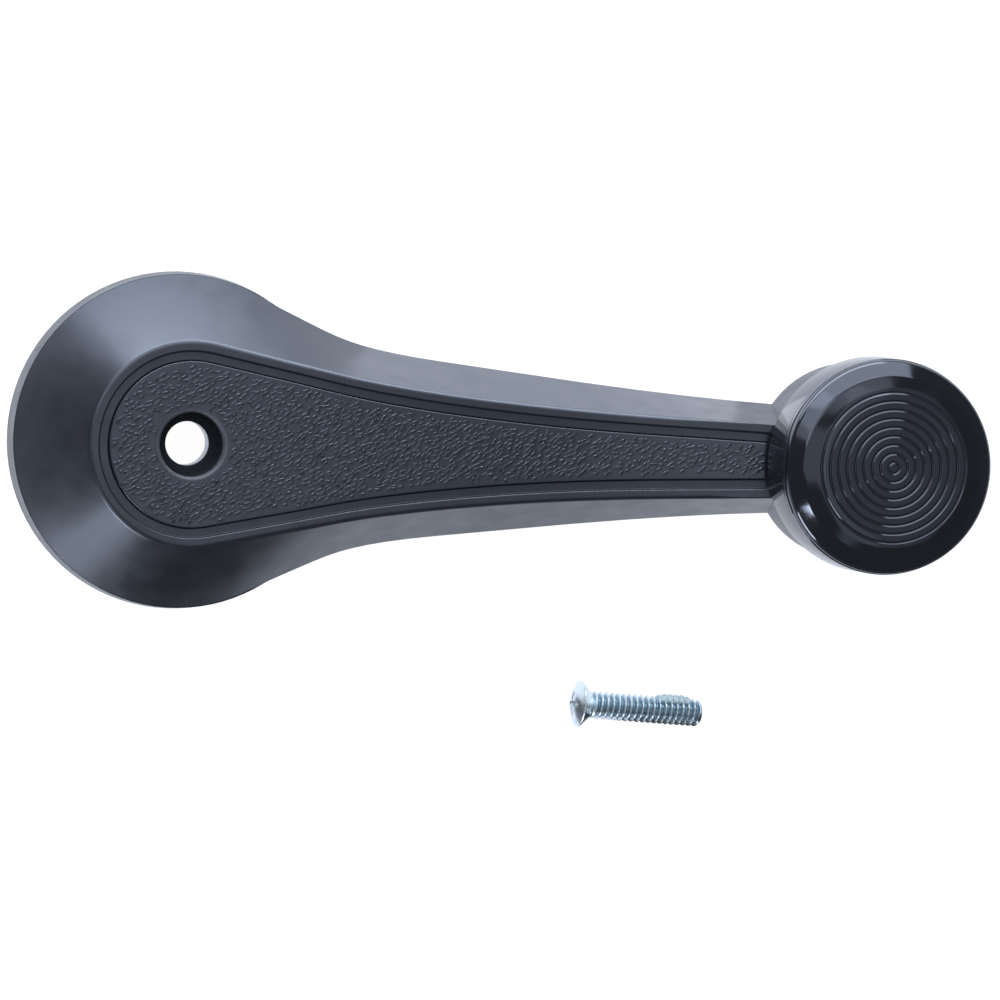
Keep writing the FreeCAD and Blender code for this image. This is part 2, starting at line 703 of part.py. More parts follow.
for item in doc.Objects:
    bad = [word for word in item.State if word in ("Invalid", "Error")]
    if bad:
        raise RuntimeError(f"{item.Name} is {bad}")
for node in nodes:
    if node.Shape.isNull() or not node.Shape.isValid():
        raise RuntimeError(f"{node.Label} has no valid shape")

os.makedirs("parts", exist_ok=True)
for node in nodes:
    node.Shape.exportStep(os.path.join("parts", f"{node.Label}.step"))
    box = node.Shape.BoundBox
    print(f"{node.Label}: {len(node.Shape.Solids)} solid, volume {node.Shape.Volume:.1f}, "
          f"x {box.XMin:.2f} to {box.XMax:.2f}, y {box.YMin:.2f} to {box.YMax:.2f}, "
          f"z {box.ZMin:.2f} to {box.ZMax:.2f}")
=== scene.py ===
import json
import math
import random

import bmesh
import bpy
import numpy as np
from mathutils import Matrix, Vector, noise
from mathutils.geometry import delaunay_2d_cdt

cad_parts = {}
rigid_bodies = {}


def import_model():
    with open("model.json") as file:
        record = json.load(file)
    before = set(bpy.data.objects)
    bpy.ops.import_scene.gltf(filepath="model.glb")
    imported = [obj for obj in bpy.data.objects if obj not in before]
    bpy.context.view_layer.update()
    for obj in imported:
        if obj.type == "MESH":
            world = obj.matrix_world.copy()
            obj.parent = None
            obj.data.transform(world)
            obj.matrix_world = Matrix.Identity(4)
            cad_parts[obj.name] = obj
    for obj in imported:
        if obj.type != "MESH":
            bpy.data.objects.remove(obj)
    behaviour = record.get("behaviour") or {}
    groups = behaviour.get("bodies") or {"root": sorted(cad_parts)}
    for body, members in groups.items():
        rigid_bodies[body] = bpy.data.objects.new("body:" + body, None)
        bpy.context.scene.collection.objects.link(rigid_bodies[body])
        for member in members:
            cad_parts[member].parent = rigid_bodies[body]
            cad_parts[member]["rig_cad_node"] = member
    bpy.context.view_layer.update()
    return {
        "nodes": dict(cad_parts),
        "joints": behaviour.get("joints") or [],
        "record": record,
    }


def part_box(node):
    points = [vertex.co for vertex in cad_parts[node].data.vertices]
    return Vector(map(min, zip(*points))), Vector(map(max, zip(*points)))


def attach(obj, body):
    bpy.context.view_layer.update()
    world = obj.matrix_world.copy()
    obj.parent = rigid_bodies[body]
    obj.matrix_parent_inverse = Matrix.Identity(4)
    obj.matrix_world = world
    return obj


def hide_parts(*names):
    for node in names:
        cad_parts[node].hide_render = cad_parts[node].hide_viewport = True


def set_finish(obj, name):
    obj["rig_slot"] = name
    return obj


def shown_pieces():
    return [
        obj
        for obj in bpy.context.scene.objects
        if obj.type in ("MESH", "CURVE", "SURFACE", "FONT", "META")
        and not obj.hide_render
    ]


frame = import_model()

MM = 0.001
KNOB_X = frame["joints"][0]["pos_m"][0]
SHARP_ANGLE = math.radians(40)
ON_AXIS = 1e-7


# Small tools

class Loops:
    """The points and faces of a piece that is made loop by loop."""

    def __init__(self):
        self.verts = []
        self.faces = []

    def add(self, points):
        """Add a loop of points and return their numbers."""
        first = len(self.verts)
        self.verts.extend(points)
        return list(range(first, len(self.verts)))

    def bridge(self, loops):
        """Closed bands of quads from each loop to the next."""
        for low, high in zip(loops, loops[1:]):
            for j in range(len(low)):
                k = (j + 1) % len(low)
                self.faces.append((low[j], low[k], high[k], high[j]))


def new_object(name, verts, faces, slot, body, *nodes):
    """A smooth-shaded mesh piece that rides on a body and stands for CAD nodes."""
    mesh = bpy.data.meshes.new(name)
    mesh.from_pydata([tuple(v) for v in verts], [], faces)
    bm = bmesh.new()
    bm.from_mesh(mesh)
    bmesh.ops.recalc_face_normals(bm, faces=bm.faces)
    bm.to_mesh(mesh)
    bm.free()
    mesh.shade_smooth()
    mesh.set_sharp_from_angle(angle=SHARP_ANGLE)
    piece = bpy.data.objects.new(name, mesh)
    bpy.context.scene.collection.objects.link(piece)
    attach(piece, body)
    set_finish(piece, slot)
    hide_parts(*nodes)
    return piece


def rounded(corners, steps=8):
    """A polyline through (radius, height, rounding) corners, each turned into an arc."""
    line = []
    for i, (r, z, rounding) in enumerate(corners):
        here = Vector((r, z))
        if rounding <= 0 or i in (0, len(corners) - 1):
            line.append(here)
            continue
        before = (Vector(corners[i - 1][:2]) - here).normalized()
        after = (Vector(corners[i + 1][:2]) - here).normalized()
        half = before.angle(after) / 2
        reach = rounding / math.tan(half)
        middle = here + (before + after).normalized() * (rounding / math.sin(half))
        first = here + before * reach - middle
        sweep = math.pi - 2 * half
        side = 1 if before.x * after.y - before.y * after.x < 0 else -1
        for step in range(steps + 1):
            spin = Matrix.Rotation(side * sweep * step / steps, 2)
            line.append(middle + spin @ first)
    return line


def lathe(name, outline, slot, body, *nodes, segments=160):
    """A closed solid of revolution about the knob's axis."""
    verts = []
    rings = []
    for r, z in outline:
        if r < ON_AXIS:
            rings.append([len(verts)] * segments)
            verts.append((KNOB_X, 0, z))
            continue
        rings.append(list(range(len(verts), len(verts) + segments)))
        for j in range(segments):
            turn = 2 * math.pi * j / segments
            verts.append((KNOB_X + r * math.cos(turn), r * math.sin(turn), z))
    faces = []
    ends_on_axis = outline[0][0] < ON_AXIS and outline[-1][0] < ON_AXIS
    loops = rings if ends_on_axis else rings + rings[:1]
    for low, high in zip(loops, loops[1:]):
        for j in range(segments):
            k = (j + 1) % segments
            corners = dict.fromkeys((low[j], low[k], high[k], high[j]))
            if len(corners) > 2:
                faces.append(tuple(corners))
    return new_object(name, verts, faces, slot, body, *nodes)


# Handle moulding

WELD = 0.002 * MM
FACES_UP = 0.97
FLAT_TURN = math.radians(0.2)
SHARP_TURN = math.radians(28)
EDGE_WIDTH = 0.24 * MM
RIM_WIDTH = 0.62 * MM
RIM_LAND = 0.9
RIM_SIDE = (0.3, 0.8)
LAND_LEVEL = 14 * MM
BEVEL_SEGMENTS = 4
MANY_CORNERS = 30
NARROW_SHARE = 0.8


def weigh_edges(bm):
    """Bevel weights: full on the rim's outer edge, less elsewhere and beside narrow faces."""
    weights = bm.edges.layers.float.new("bevel_weight_edge")
    for edge in bm.edges:
        if len(edge.link_faces) != 2 or edge.calc_face_angle(0) < SHARP_TURN:
            continue
        side, land = sorted(face.normal.z for face in edge.link_faces)
        level = sum(v.co.z for v in edge.verts) / 2
        rim = (land > RIM_LAND and RIM_SIDE[0] < side < RIM_SIDE[1]
               and edge.calc_face_angle_signed(0) > 0)
        width = RIM_WIDTH if rim and level > LAND_LEVEL else EDGE_WIDTH
        for face in edge.link_faces:
            if len(face.verts) > MANY_CORNERS:
                width = min(width, NARROW_SHARE * face.calc_area() / face.calc_perimeter())
        edge[weights] = width / RIM_WIDTH


def drop_strays(bm):
    """Dissolve points inside the upper faces, where a wide edge rounding would cross them."""
    strays = [v for v in bm.verts
              if v.co.z > LAND_LEVEL and all(f.normal.z > FACES_UP for f in v.link_faces)]
    bmesh.ops.dissolve_verts(bm, verts=strays)


def softened(node, body, slot):
    """A copy of a CAD node with its edges rounded, which stands for the node."""
    mesh = frame["nodes"][node].data.copy()
    name = f"{node}_soft"
    mesh.name = name
    bm = bmesh.new()
    bm.from_mesh(mesh)
    bmesh.ops.remove_doubles(bm, verts=bm.verts, dist=WELD)
    bmesh.ops.dissolve_limit(bm, angle_limit=FLAT_TURN, use_dissolve_boundaries=False,
                             verts=bm.verts, edges=bm.edges)
    drop_strays(bm)
    weigh_edges(bm)
    bm.to_mesh(mesh)
    bm.free()
    for label in ("sharp_edge", "sharp_face", "custom_normal"):
        if label in mesh.attributes:
            mesh.attributes.remove(mesh.attributes[label])
    mesh.shade_smooth()
    mesh.materials.clear()
    piece = bpy.data.objects.new(name, mesh)
    bpy.context.scene.collection.objects.link(piece)
    bevel = piece.modifiers.new("edges", "BEVEL")
    bevel.width = RIM_WIDTH
    bevel.segments = BEVEL_SEGMENTS
    bevel.limit_method = "WEIGHT"
    bevel.use_clamp_overlap = False
    bevel.harden_normals = True
    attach(piece, body)
    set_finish(piece, slot)
    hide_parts(node)
    return piece


# Grained inlay

OUTLINE_SPACING = 0.5 * MM
SHARP_CORNER = 0.5
LEVEL_POINTS = 400
LEVEL_BLUR = 9
WALL_DEPTH = 1.3 * MM
EDGE_ROUND = 0.24 * MM
EDGE_GROWTH = 0.08 * MM
ARC_STEPS = 5
HOLE_RADIUS = 5.4 * MM
MOUTH_ROUND = 0.55 * MM
MOUTH_SIDES = 120
IN_HOLE = 0.9996  # a face whose middle is nearer the axis than this share fills the hole
NET_TOLERANCE = 1e-7

# The ground between the pebbles, then the pebbles' rows
GROUND_STEP = 0.55 * MM
GROUND_MARGIN = 0.25 * MM
GRAIN_LEAN = math.radians(31)
GRAIN_LENGTH = 1.3 * MM
GRAIN_PITCH = 0.69 * MM
GRAIN_DEPTH = 0.12 * MM
GRAIN_REACH = 1.3  # how far the rows run, in shares of the panel's reach
GRAIN_SEED = 11

# One pebble: shifts in shares of the rows, sizes in mm, height in shares of the depth
SHIFT_ALONG = 0.32
SHIFT_ACROSS = 0.3
TURN_SPREAD = 0.26
HALF_LENGTHS = (0.34, 0.94)
HALF_WIDTHS = (0.15, 0.23)
HEIGHTS = (0.62, 1.0)
MISSING_SHARE = 0.08
PEBBLE_MARGIN = 0.1 * MM
CREST_OFFSET = 0.45
CREST_POINTS = (-0.84, -0.42, 0.0, 0.42, 0.84)
PEBBLE_RINGS = ((1.0, 16), (0.55, 12))
SIDE_POWER = 1.2
CROWN_POWER = 0.8


def top_loop(node):
    """The outer edge of the node's top face, as an ordered closed list of points."""
    bm = bmesh.new()
    bm.from_mesh(frame["nodes"][node].data)
    bmesh.ops.remove_doubles(bm, verts=bm.verts, dist=WELD)
    bm.normal_update()
    top = {f for f in bm.faces if f.normal.z > FACES_UP}
    border = {e for e in bm.edges if sum(f in top for f in e.link_faces) == 1}
    start = min((v for e in border for v in e.verts), key=lambda v: v.co.x)
    loop = [start]
    edge = next(e for e in start.link_edges if e in border)
    while True:
        here = edge.other_vert(loop[-1])
        if here is start:
            break
        loop.append(here)
        edge = next(e for e in here.link_edges if e in border and e is not edge)
    points = [v.co.copy() for v in loop]
    bm.free()
    return points


def resampled(points, spacing):
    """The closed polyline with points spacing apart, its sharp corners kept."""
    count = len(points)
    result = []
    for i in range(count):
        p0, p1, p2, p3 = (points[(i + k) % count] for k in (-1, 0, 1, 2))
        straight = max((p1 - p0).angle(p2 - p1, 0), (p2 - p1).angle(p3 - p2, 0)) > SHARP_CORNER
        parts = max(1, round((p2 - p1).length / spacing))
        for k in range(parts):
            t = k / parts
            if straight:
                result.append(p1.lerp(p2, t))
                continue
            m1 = (p2 - p0) * (p2 - p1).length / ((p2 - p1).length + (p1 - p0).length)
            m2 = (p3 - p1) * (p2 - p1).length / ((p2 - p1).length + (p3 - p2).length)
            result.append((2 * t**3 - 3 * t**2 + 1) * p1 + (t**3 - 2 * t**2 + t) * m1
                          + (3 * t**2 - 2 * t**3) * p2 + (t**3 - t**2) * m2)
    return result


def inset_loop(points, distance):
    """The closed plan polyline moved inwards by distance, corners mitred."""
    flat = np.array([(p.x, p.y) for p in points])
    after = np.roll(flat, -1, axis=0) - flat
    after /= np.linalg.norm(after, axis=1)[:, None]
    before = np.roll(after, 1, axis=0)
    area = np.sum(flat[:, 0] * np.roll(flat[:, 1], -1) - np.roll(flat[:, 0], -1) * flat[:, 1])
    turn = 1 if area > 0 else -1
    n1 = np.stack([-before[:, 1], before[:, 0]], axis=1) * turn
    n2 = np.stack([-after[:, 1], after[:, 0]], axis=1) * turn
    miter = (n1 + n2) / (1 + np.sum(n1 * n2, axis=1))[:, None]
    return flat + miter * distance


def circle(radius):
    """Plan points of the hole's edge at a radius."""
    turns = (2 * math.pi * j / MOUTH_SIDES for j in range(MOUTH_SIDES))
    return [(radius * math.cos(t), radius * math.sin(t)) for t in turns]


def wall_steps(start, rounding):
    """Steps (place, drop) up a wall that stands at start and over its rounded edge."""
    arc = [math.pi / 2 * k / ARC_STEPS for k in range(ARC_STEPS + 1)]
    return [(start, WALL_DEPTH)] + [
        (start + rounding * (1 - math.cos(t)), rounding * (1 - math.sin(t))) for t in arc]


def smooth_level(outline, low, high):
    """The height of the panel's top as a smooth function of x."""
    order = sorted(outline, key=lambda p: p.x)
    table_x = np.linspace(low.x, high.x, LEVEL_POINTS)
    table_z = np.interp(table_x, [p.x for p in order], [p.z for p in order])
    ends = LEVEL_BLUR // 2
    padded = np.concatenate([[table_z[0]] * ends, table_z, [table_z[-1]] * ends])
    table_z = np.convolve(padded, np.ones(LEVEL_BLUR) / LEVEL_BLUR, mode="valid")
    return lambda x: float(np.interp(x, table_x, table_z))


def panel_test(edge):
    """A test of whether a point of the plan lies margin inside the edge and off the mouth."""
    upper = edge[edge[:, 1] >= 0]
    upper = upper[np.argsort(upper[:, 0])]
    edge_x, edge_y = upper[:, 0], upper[:, 1]

    def inside(x, y, margin):
        side = np.interp(x, edge_x, edge_y) - abs(y)
        return (side > margin and edge_x[0] + margin < x < edge_x[-1] - margin
                and math.hypot(x, y) > HOLE_RADIUS + MOUTH_ROUND + margin)

    return inside


def scattered_pebbles(reach, inside):
    """Rows of seeded pebbles: centre, unit vector along it, half length, half width, height."""
    chance = random.Random(GRAIN_SEED)
    along = Vector((math.cos(GRAIN_LEAN), math.sin(GRAIN_LEAN)))
    across = Vector((-along.y, along.x))
    rows = int(reach * GRAIN_REACH / GRAIN_PITCH)
    pebbles = []
    for row in range(-rows, rows + 1):
        for column in range(-rows, rows + 1):
            u = column + 0.5 * (row % 2) + chance.uniform(-SHIFT_ALONG, SHIFT_ALONG)
            v = row + chance.uniform(-SHIFT_ACROSS, SHIFT_ACROSS)
            turn = chance.gauss(0, TURN_SPREAD)
            half_length = chance.uniform(*HALF_LENGTHS) * MM
            half_width = chance.uniform(*HALF_WIDTHS) * MM
            height = GRAIN_DEPTH * chance.uniform(*HEIGHTS)
            missing = chance.random() < MISSING_SHARE
            here = along * (u * GRAIN_LENGTH) + across * (v * GRAIN_PITCH)
            if missing or not inside(here.x, here.y, half_length + PEBBLE_MARGIN):
                continue
            heading = Vector((math.cos(GRAIN_LEAN + turn), math.sin(GRAIN_LEAN + turn)))
            pebbles.append((here, heading, half_length, half_width, height))
    return pebbles


def pebble_shares():
    """Points of one pebble in shares of its half length and half width."""
    points = [(u, CREST_OFFSET) for u in CREST_POINTS]
    for share, count in PEBBLE_RINGS:
        for k in range(count):
            turn = 2 * math.pi * (k + 0.5) / count
            side = share * math.sin(turn)
            reach = 1 - CREST_OFFSET if side > 0 else 1 + CREST_OFFSET
            points.append((share * math.cos(turn), CREST_OFFSET + side * reach))
    return points


def pebble_points(pebbles):
    """Plan points on every pebble."""
    points = []
    for centre, heading, half_length, half_width, _ in pebbles:
        for u, v in pebble_shares():
            u, v = u * half_length, v * half_width
            points.append(Vector((centre.x + heading.x * u - heading.y * v,
                                  centre.y + heading.y * u + heading.x * v)))
    return points


def ground_points(low, high, inside, grain):
    """Plan points of a square net over the ground between the pebbles."""
    points = []
    for i in range(int(low.x / GROUND_STEP), int(high.x / GROUND_STEP) + 1):
        for j in range(int(low.y / GROUND_STEP), int(high.y / GROUND_STEP) + 1):
            x, y = i * GROUND_STEP, j * GROUND_STEP
            if inside(x, y, GROUND_MARGIN) and grain.height(x, y) == 0:
                points.append(Vector((x, y)))
    return points


class Grain:
    """The pebbles as a height field that can be read at any point."""

    CELL = 1.2 * MM

    def __init__(self, pebbles):
        self.cells = {}
        for pebble in pebbles:
            self.cells.setdefault(self.cell(*pebble[0]), []).append(pebble)

    def cell(self, x, y):
        """The square of the plan that holds a point."""
        return math.floor(x / self.CELL), math.floor(y / self.CELL)

    def near(self, x, y):
        """The pebbles in the point's square and in those round it."""
        column, row = self.cell(x, y)
        for i in (column - 1, column, column + 1):
            for j in (row - 1, row, row + 1):
                yield from self.cells.get((i, j), ())

    def height(self, x, y):
        """Height over the ground between the pebbles."""
        top = 0.0
        for centre, heading, half_length, half_width, height in self.near(x, y):
            dx, dy = x - centre.x, y - centre.y
            u = (dx * heading.x + dy * heading.y) / half_length
            v = (dy * heading.x - dx * heading.y) / half_width - CREST_OFFSET
            side = v / (1 - CREST_OFFSET) if v > 0 else -v / (1 + CREST_OFFSET)
            left = 1 - u * u - side ** SIDE_POWER
            if left > 0:
                top = max(top, height * left ** CROWN_POWER)
        return top


def close_between(shape, outer, inner, hole_radius, points, height):
    """Faces from the outer loop to the hole's loop, over the points that lie between them."""
    known = outer + inner
    ends = [Vector(shape.verts[i][:2]) for i in known]
    rings = [list(range(len(outer))), list(range(len(outer), len(known)))[::-1]]
    places, _, faces, sources = delaunay_2d_cdt(ends + points, [], rings, 1, NET_TOLERANCE)[:4]
    index = []
    for place, source in zip(places, sources):
        taken = [i for i in source if i < len(known)]
        if taken:
            index.append(known[taken[0]])
            continue
        index.append(len(shape.verts))
        shape.verts.append((place.x, place.y, height(place.x, place.y)))
    for face in faces:
        middle = sum((places[i] for i in face), Vector((0, 0))) / len(face)
        if middle.length > hole_radius * IN_HOLE:
            shape.faces.append(tuple(index[i] for i in face))


def build_inlay():
    """The raised panel: a fine mesh with real pebbles, rounded edges and a rounded mouth."""
    low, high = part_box("grained_inlay")
    outline = resampled(top_loop("grained_inlay"), OUTLINE_SPACING)
    level = smooth_level(outline, low, high)
    shape = Loops()

    def add_loop(plan, drop):
        return shape.add((x, y, level(x) - GRAIN_DEPTH - drop) for x, y in plan)

    edges = [add_loop(inset_loop(outline, inset), drop)
             for inset, drop in wall_steps(-EDGE_GROWTH, EDGE_ROUND)]
    shape.bridge(edges)
    mouths = [add_loop(circle(radius), drop) for radius, drop in wall_steps(HOLE_RADIUS, MOUTH_ROUND)]
    shape.bridge(mouths)

    inside = panel_test(inset_loop(outline, EDGE_ROUND - EDGE_GROWTH))
    pebbles = scattered_pebbles(max(high.x, high.y), inside)
    grain = Grain(pebbles)
    points = pebble_points(pebbles) + ground_points(low, high, inside, grain)
    close_between(shape, edges[-1], mouths[-1], HOLE_RADIUS + MOUTH_ROUND, points,
                  lambda x, y: level(x) - GRAIN_DEPTH + grain.height(x, y))
    close_between(shape, edges[0], mouths[0], HOLE_RADIUS, [], None)
    new_object("grained_panel", shape.verts, shape.faces, "black_grain", "root", "grained_inlay")


# Knob

SKIRT_DRAFT = 0.15 * MM
SKIRT_WALL = 1.9 * MM
FOOT_ROUND = 0.45 * MM
HUB_WALL = 2.4 * MM
WEB_RISE = 1.8 * MM
WEB_THICKNESS = 1.8 * MM
SMALL_ROUND = 0.3 * MM
FINE_ROUND = 0.1 * MM

BEAD_RISE = 1.2 * MM
BEAD_REACH = 0.2 * MM
BEAD_ROUND = 0.22 * MM
BEAD_FOOT_ROUND = 0.08 * MM
ROOF_DEPTH = 2.0 * MM
ROOF_ROUND = 0.6 * MM
PLUG_WALL = 1.4 * MM
BEVEL_START = 1.25 * MM
BEVEL_WIDTH = 2.6 * MM
BEVEL_DROP = 0.9 * MM
SIDE_ROUND = 1.3 * MM
BEVEL_ROUND = 3.0 * MM
DOME_WIDTH = 3.0 * MM
DOME_ROUND = 9.0 * MM
CROWN_STEPS = 12
CROWN_SEGMENTS = 224

RINGED_RADIUS = 14.2 * MM
RING_START = 0.93 * MM
RING_PITCH = 1.47 * MM
RING_COUNT = 9
RING_DEPTH = 0.17 * MM
RING_SHARE = 0.42
RING_POINTS = 28


def plug_radius():
    """The radius of the step on which the crown plugs into the skirt."""
    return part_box("knob_body")[1].x - KNOB_X - SKIRT_DRAFT - SKIRT_WALL


def build_skirt():
    """The knob's skirt with its web and its hub round the bush."""
    low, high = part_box("knob_body")
    bush_low, bush_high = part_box("knob_bush")
    skirt = high.x - KNOB_X
    plug = plug_radius()
    hub = bush_high.x - KNOB_X
    web_low = low.z + WEB_RISE
    web_high = web_low + WEB_THICKNESS
    outline = rounded([
        (hub, bush_low.z, 0),
        (hub + HUB_WALL, bush_low.z, SMALL_ROUND),
        (hub + HUB_WALL, web_low, SMALL_ROUND),
        (plug, web_low, SMALL_ROUND),
        (plug, low.z, SMALL_ROUND),
        (skirt, low.z, FOOT_ROUND),
        (skirt - SKIRT_DRAFT, high.z, FINE_ROUND),
        (plug, high.z, 0),
        (plug, web_high, SMALL_ROUND),
        (hub + HUB_WALL, web_high, SMALL_ROUND),
        (hub + HUB_WALL, bush_high.z, SMALL_ROUND),
        (hub, bush_high.z, 0),
    ])
    lathe("knob_skirt", outline, "knob_black", "knob", "knob_body")


def crown_outline(bevel):
    """The crown's outline before its rings are cut. Its bevel's outer radius is bevel."""
    low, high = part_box("knob_cap")
    bead = high.x - KNOB_X
    bead_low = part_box("knob_body")[1].z
    bead_high = bead_low + BEAD_RISE
    plug = plug_radius()
    inner = plug - PLUG_WALL
    roof = high.z - ROOF_DEPTH
    return rounded([
        (0, roof, 0),
        (inner, roof, ROOF_ROUND),
        (inner, low.z, SMALL_ROUND),
        (plug, low.z, SMALL_ROUND),
        (plug, bead_low, FINE_ROUND),
        (bead, bead_low, BEAD_ROUND),
        (bead, bead_high, SMALL_ROUND),
        (bevel, bead_high, BEAD_FOOT_ROUND),
        (bevel, bead_high + BEVEL_START, SIDE_ROUND),
        (bevel - BEVEL_WIDTH, high.z - BEVEL_DROP, BEVEL_ROUND),
        (bevel - BEVEL_WIDTH - DOME_WIDTH, high.z, DOME_ROUND),
        (0, high.z, 0),
    ], steps=CROWN_STEPS)


def build_crown():
    """The knob's glossy crown with its bead, bevel, low dome and ring grooves."""
    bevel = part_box("knob_cap")[1].x - KNOB_X - BEAD_REACH
    outline = crown_outline(bevel)
    split = max(i for i, p in enumerate(outline) if p.x > bevel - BEVEL_WIDTH / 2)
    dome = outline[split:][::-1]
    dome_r, dome_z = [p.x for p in dome], [p.y for p in dome]
    sides = outline[:split] + [p for p in outline[split:] if p.x > RINGED_RADIUS]
    face = []
    steps = RING_COUNT * RING_POINTS
    for k in range(steps + 1):
        r = RINGED_RADIUS * (1 - k / steps)
        face.append((r, float(np.interp(r, dome_r, dome_z)) - ring_drop(r)))
    lathe("knob_crown", [tuple(p) for p in sides] + face, "knob_black", "knob", "knob_cap",
          segments=CROWN_SEGMENTS)


def ring_drop(r):
    """How far the crown's face lies under the plain dome at radius r: narrow round grooves."""
    phase = (r - RING_START) / RING_PITCH
    nearest = round(phase)
    if not 0 <= nearest < RING_COUNT:
        return 0.0
    off = abs(phase - nearest) * 2 / RING_SHARE
    return RING_DEPTH * max(0.0, 1 - off * off) ** 2


# Loose screw

SCREW_AT = Vector((71.2, -43.28)) * MM
SCREW_HEADING = math.radians(-3.6)
SCREW_LENGTH = 22.2 * MM
SCREW_SIDES = 96

HEAD_RADIUS = 4.05 * MM
HEAD_EDGE = 0.22 * MM
CONE_ANGLE = math.radians(41)
CONE_STEPS = 6
CROWN_HEIGHT = 1.2 * MM
CROWN_SHARE = 0.985
CROWN_RINGS = 34
EDGE_START = 0.35
EDGE_CHAMFER = (0.05 * MM, 0.06 * MM)

THREAD_RADIUS = 2.41 * MM
ROOT_RADIUS = 1.84 * MM
THREAD_PITCH = 1.058 * MM
RINGS_PER_PITCH = 14
CREST_SHARE = 0.16
FLANK_SHARE = 0.66
RUN_IN = 0.5
TIP_LENGTH = 0.7 * MM
TIP_SHARE = 0.96
END_SHARE = 0.8
HEAD_DEPTH = (HEAD_RADIUS - THREAD_RADIUS) / math.tan(CONE_ANGLE)

CROSS_REACH = 2.15 * MM
CROSS_WIDTH = 0.95 * MM
CROSS_DEPTH = 2.0 * MM
CROSS_WALL = 0.12 * MM
CROSS_TAPER = 0.28
CROSS_RAMP = 1.9
CENTRE_REACH = 0.85
CENTRE_RAMP = 3


def clamped(value):
    """The value held between 0 and 1."""
    return min(1.0, max(0.0, value))


def screw_matrix():
    """From the screw's own frame, head up at the origin, to where it lies."""
    lean = math.asin((HEAD_RADIUS - THREAD_RADIUS) / SCREW_LENGTH)
    lay = Matrix.Rotation(-math.pi / 2 + lean, 4, "Y")
    heading = Matrix.Rotation(SCREW_HEADING, 4, "Z")
    rise = HEAD_RADIUS * math.cos(lean) + HEAD_EDGE * math.sin(lean)
    place = Matrix.Translation((SCREW_AT.x, SCREW_AT.y, rise))
    return place @ heading @ lay


def thread_radius(drop, turn):
    """The thread's radius at a depth below the head's edge and a turn about the axis."""
    phase = (drop / THREAD_PITCH - turn / (2 * math.pi)) % 1.0
    flank = abs(phase - 0.5) * 2
    share = clamped((flank - CREST_SHARE) / FLANK_SHARE)
    run_in = clamped((drop - HEAD_DEPTH) / (RUN_IN * THREAD_PITCH))
    radius = ROOT_RADIUS + (THREAD_RADIUS - ROOT_RADIUS) * (1 - share * run_in)
    tip = ROOT_RADIUS * TIP_SHARE
    limit = tip + (THREAD_RADIUS - tip) * (SCREW_LENGTH - drop) / TIP_LENGTH
    return min(radius, limit)


def recess(x, y):
    """Depth of the cross recess at a point of the head."""
    deepest = 0.0
    for along, across in ((abs(x), abs(y)), (abs(y), abs(x))):
        wing = 1 - along / CROSS_REACH
        half = CROSS_WIDTH / 2 * (1 - CROSS_TAPER + CROSS_TAPER * max(0.0, wing))
        inside = clamped((half - across) / CROSS_WALL)
        deepest = max(deepest, CROSS_DEPTH * clamped(CROSS_RAMP * wing) * inside)
    middle = 1 - math.hypot(x, y) / (CROSS_WIDTH * CENTRE_REACH)
    return max(deepest, CROSS_DEPTH * clamped(CENTRE_RAMP * middle))


def crown_point(r, turn):
    """Radius and height of the head's domed top with the recess cut into it."""
    dome = CROWN_HEIGHT * (1 - (r / HEAD_RADIUS) ** 2)
    return r, dome - recess(r * math.cos(turn), r * math.sin(turn))


def screw_rings():
    """The rings from the crown to the tip, each a function from turn to (radius, height)."""
    for k in range(1, CROWN_RINGS + 1):
        r = HEAD_RADIUS * CROWN_SHARE * k / CROWN_RINGS
        yield lambda turn, r=r: crown_point(r, turn)
    yield lambda turn: (HEAD_RADIUS, -HEAD_EDGE * EDGE_START)
    yield lambda turn: (HEAD_RADIUS, -HEAD_EDGE)
    yield lambda turn: (HEAD_RADIUS - EDGE_CHAMFER[0], -HEAD_EDGE - EDGE_CHAMFER[1])
    for k in range(1, CONE_STEPS):
        share = k / CONE_STEPS
        r = HEAD_RADIUS + (THREAD_RADIUS - HEAD_RADIUS) * share
        z = -HEAD_EDGE - (HEAD_DEPTH - HEAD_EDGE) * share
        yield lambda turn, r=r, z=z: (r, z)
    steps = int((SCREW_LENGTH - HEAD_DEPTH) / (THREAD_PITCH / RINGS_PER_PITCH))
    for k in range(steps + 1):
        drop = HEAD_DEPTH + (SCREW_LENGTH - HEAD_DEPTH) * k / steps
        yield lambda turn, drop=drop: (thread_radius(drop, turn), -drop)
    yield lambda turn: (ROOT_RADIUS * END_SHARE, -SCREW_LENGTH)


def ring_points(ring):
    """The points of one ring of the screw."""
    for j in range(SCREW_SIDES):
        turn = 2 * math.pi * j / SCREW_SIDES
        r, z = ring(turn)
        yield r * math.cos(turn), r * math.sin(turn), z


def build_screw():
    """The oval countersunk screw with a real helical thread and a cross recess."""
    shape = Loops()
    shape.add([(0, 0, crown_point(0, 0)[1])])
    rings = [shape.add(ring_points(ring)) for ring in screw_rings()]
    for a, b in zip(rings[0], rings[0][1:] + rings[0][:1]):
        shape.faces.append((0, a, b))
    shape.bridge(rings)
    shape.faces.append(tuple(rings[-1]))
    matrix = screw_matrix()
    placed = [matrix @ Vector(v) for v in shape.verts]
    new_object("zinc_screw", placed, shape.faces, "zinc_plate", "root", "winder_screw")


# Patch on the screw's thread

